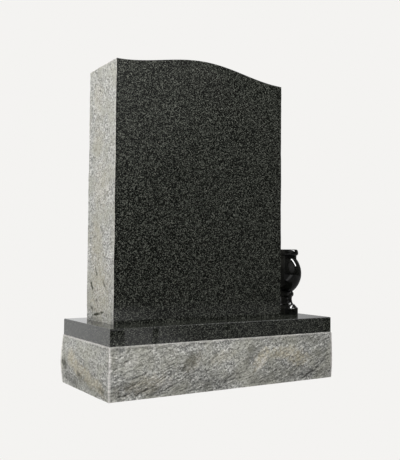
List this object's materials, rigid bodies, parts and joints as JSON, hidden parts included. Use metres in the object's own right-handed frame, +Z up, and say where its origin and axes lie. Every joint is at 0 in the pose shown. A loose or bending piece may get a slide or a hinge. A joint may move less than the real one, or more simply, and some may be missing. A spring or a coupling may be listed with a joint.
{
  "type": "headstone",
  "caption": "Upright granite headstone with a serpentine-topped polished tablet on a rock-pitched base, with a turned flower vase beside it.",
  "frame": {"origin": "middle of the base's flat underside", "axes": "+Z up, -Y the front of the tablet, +X along the base to the viewer's right"},
  "size_m": [0.844, 0.38, 1.037],
  "materials": {
    "base_granite": "rock-pitched granite faces under a polished margin and a polished top",
    "tablet_granite": "polished dark grey granite with a fine even grain, pitched and paler on its sides",
    "vase_granite": "mirror-polished black granite"
  },
  "bodies": {
    "root": {"base": "base_granite", "tablet": "tablet_granite", "vase": "vase_granite"}
  },
  "joints": []
}
